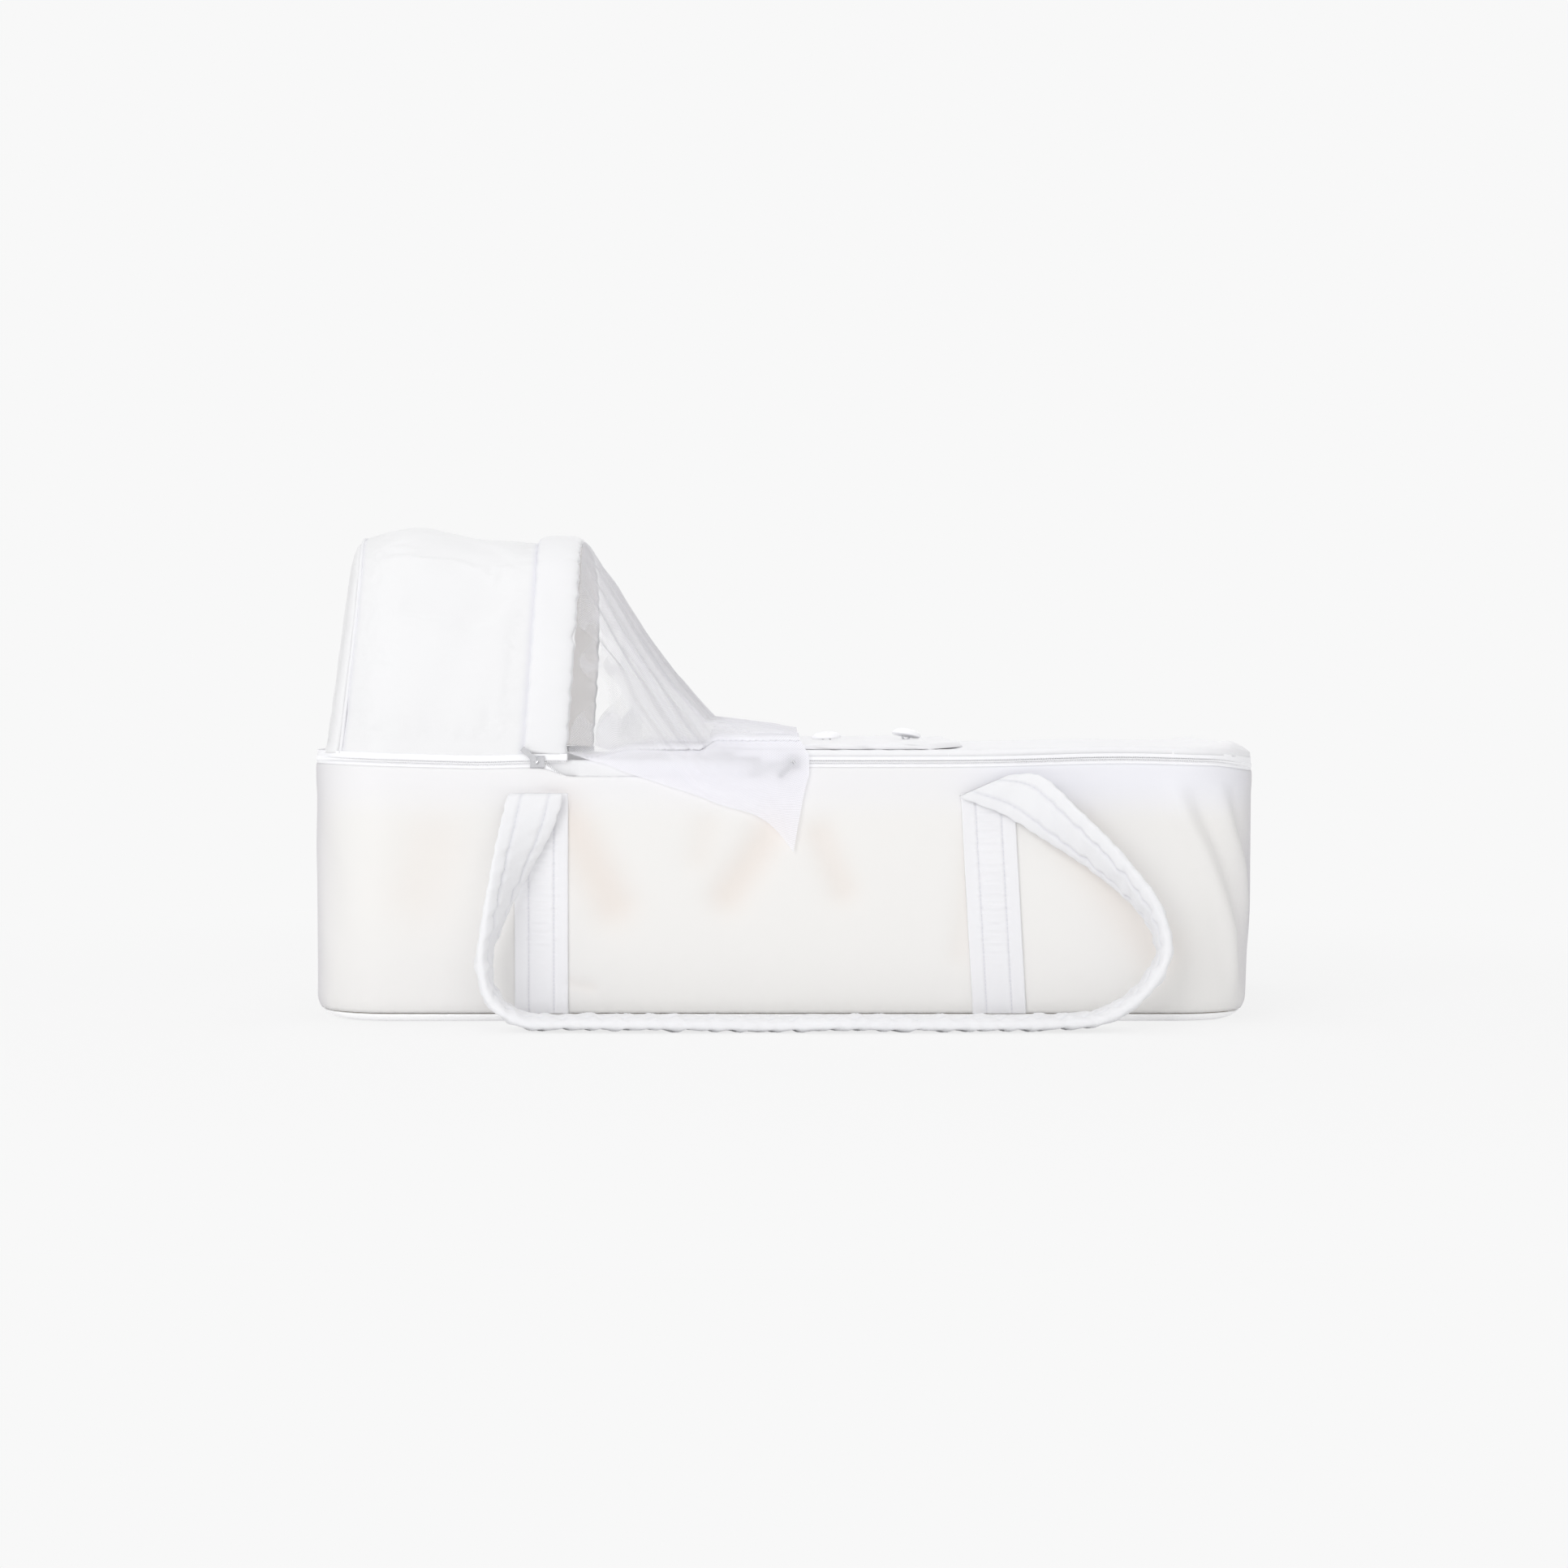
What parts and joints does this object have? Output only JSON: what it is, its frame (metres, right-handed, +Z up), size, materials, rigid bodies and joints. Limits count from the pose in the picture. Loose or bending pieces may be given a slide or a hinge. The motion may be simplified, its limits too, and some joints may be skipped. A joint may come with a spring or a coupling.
{
  "type": "portable baby bed",
  "caption": "Soft portable baby bed with padded walls, tipping zip-on hood with mosquito net, zip-on apron with a turned-back flap and padded carry handles.",
  "frame": {"origin": "centre of the flat underside that the bed stands on", "axes": "+X to the foot end, -Y the near side of the picture, +Z up"},
  "size_m": [0.8004, 0.5222, 0.4198],
  "materials": {
    "cover_satin": "smooth white cotton sateen with a soft sheen",
    "quilted_cotton": "matt white padded cotton",
    "lining_cotton": "matt white plain-weave cotton",
    "foam": "open-cell foam, sewn inside the walls",
    "board": "hardboard base stiffener",
    "zip_tape": "white woven zip tape with a nylon coil",
    "slider_metal": "bright nickel-plated zinc",
    "tulle": "fine see-through white tulle",
    "bow_wire": "sprung steel wire, hidden in the front band",
    "strap_cotton": "white cotton twill, stitched",
    "button_cover": "white sateen stretched over a metal cap"
  },
  "bodies": {
    "bed": {"bottom_panel": "cover_satin", "base_board": "board", "side_cover": "cover_satin", "wall_foam": "foam", "inner_lining": "lining_cotton", "mattress": "quilted_cotton", "rim_roll": "quilted_cotton", "hood_zip_lower": "zip_tape", "apron_zip_lower": "zip_tape", "near_head_strap": "strap_cotton", "near_foot_strap": "strap_cotton", "far_head_strap": "strap_cotton", "far_foot_strap": "strap_cotton"},
    "hood": {"hood_canopy": "cover_satin", "hood_lining": "lining_cotton", "hood_rear_panel": "quilted_cotton", "hood_rear_piping": "quilted_cotton", "hood_front_band": "quilted_cotton", "hood_bow": "bow_wire", "hood_zip_upper": "zip_tape", "net_band": "quilted_cotton"},
    "net": {"mosquito_net": "tulle"},
    "apron": {"apron_panel": "cover_satin", "apron_zip_upper": "zip_tape"},
    "flap": {"apron_flap": "cover_satin", "button_cap_1": "button_cover", "button_cap_2": "button_cover", "button_shank_1": "slider_metal", "button_shank_2": "slider_metal"},
    "handle_near": {"near_handle": "quilted_cotton"},
    "handle_far": {"far_handle": "quilted_cotton"},
    "slider_hood_near": {"near_hood_slider": "slider_metal"},
    "pull_hood_near": {"near_hood_pull": "slider_metal"},
    "slider_apron_near": {"near_apron_slider": "slider_metal"},
    "pull_apron_near": {"near_apron_pull": "slider_metal"},
    "slider_hood_far": {"far_hood_slider": "slider_metal"},
    "pull_hood_far": {"far_hood_pull": "slider_metal"},
    "slider_apron_far": {"far_apron_slider": "slider_metal"},
    "pull_apron_far": {"far_apron_pull": "slider_metal"}
  },
  "joints": [
    {"name": "hood_tip", "type": "hinge", "parent": "bed", "child": "hood", "pos_m": [-0.4006, 0, 0.219], "axis": [0, -1, 0], "range_deg": [0, 110]},
    {"name": "net_lift", "type": "hinge", "parent": "hood", "child": "net", "pos_m": [-0.177, 0, 0.4099], "axis": [0, -1, 0], "range_deg": [0, 40], "deforming": ["mosquito_net"]},
    {"name": "apron_open", "type": "hinge", "parent": "bed", "child": "apron", "pos_m": [0.4006, 0, 0.219], "axis": [0, 1, 0], "range_deg": [0, 115]},
    {"name": "flap_fold", "type": "hinge", "parent": "apron", "child": "flap", "pos_m": [-0.052, 0, 0.2413], "axis": [0, -1, 0], "range_deg": [0, 115]},
    {"name": "near_handle_lift", "type": "hinge", "parent": "bed", "child": "handle_near", "pos_m": [0, -0.199, 0.203], "axis": [-1, 0, 0], "range_deg": [0, 160]},
    {"name": "far_handle_lift", "type": "hinge", "parent": "bed", "child": "handle_far", "pos_m": [0, 0.199, 0.203], "axis": [1, 0, 0], "range_deg": [0, 160]},
    {"name": "near_hood_zip", "type": "slide", "parent": "bed", "child": "slider_hood_near", "axis": [-1, 0, 0], "range_m": [-0.016, 0.107]},
    {"name": "near_hood_pull_swing", "type": "hinge", "parent": "slider_hood_near", "child": "pull_hood_near", "pos_m": [-0.206, -0.1883, 0.219], "axis": [0.682, 0, 0.7314], "range_deg": [0, 160]},
    {"name": "near_apron_zip", "type": "slide", "parent": "bed", "child": "slider_apron_near", "axis": [1, 0, 0], "range_m": [-0.018, 0.3]},
    {"name": "near_apron_pull_swing", "type": "hinge", "parent": "slider_apron_near", "child": "pull_apron_near", "pos_m": [0.008, -0.1883, 0.219], "axis": [-0.7071, 0, 0.7071], "range_deg": [0, 160]},
    {"name": "far_hood_zip", "type": "slide", "parent": "bed", "child": "slider_hood_far", "axis": [-1, 0, 0], "range_m": [-0.016, 0.107]},
    {"name": "far_hood_pull_swing", "type": "hinge", "parent": "slider_hood_far", "child": "pull_hood_far", "pos_m": [-0.206, 0.1883, 0.219], "axis": [-0.682, 0, -0.7314], "range_deg": [0, 160]},
    {"name": "far_apron_zip", "type": "slide", "parent": "bed", "child": "slider_apron_far", "axis": [1, 0, 0], "range_m": [-0.018, 0.3]},
    {"name": "far_apron_pull_swing", "type": "hinge", "parent": "slider_apron_far", "child": "pull_apron_far", "pos_m": [0.008, 0.1883, 0.219], "axis": [0.7071, 0, -0.7071], "range_deg": [0, 160]}
  ]
}
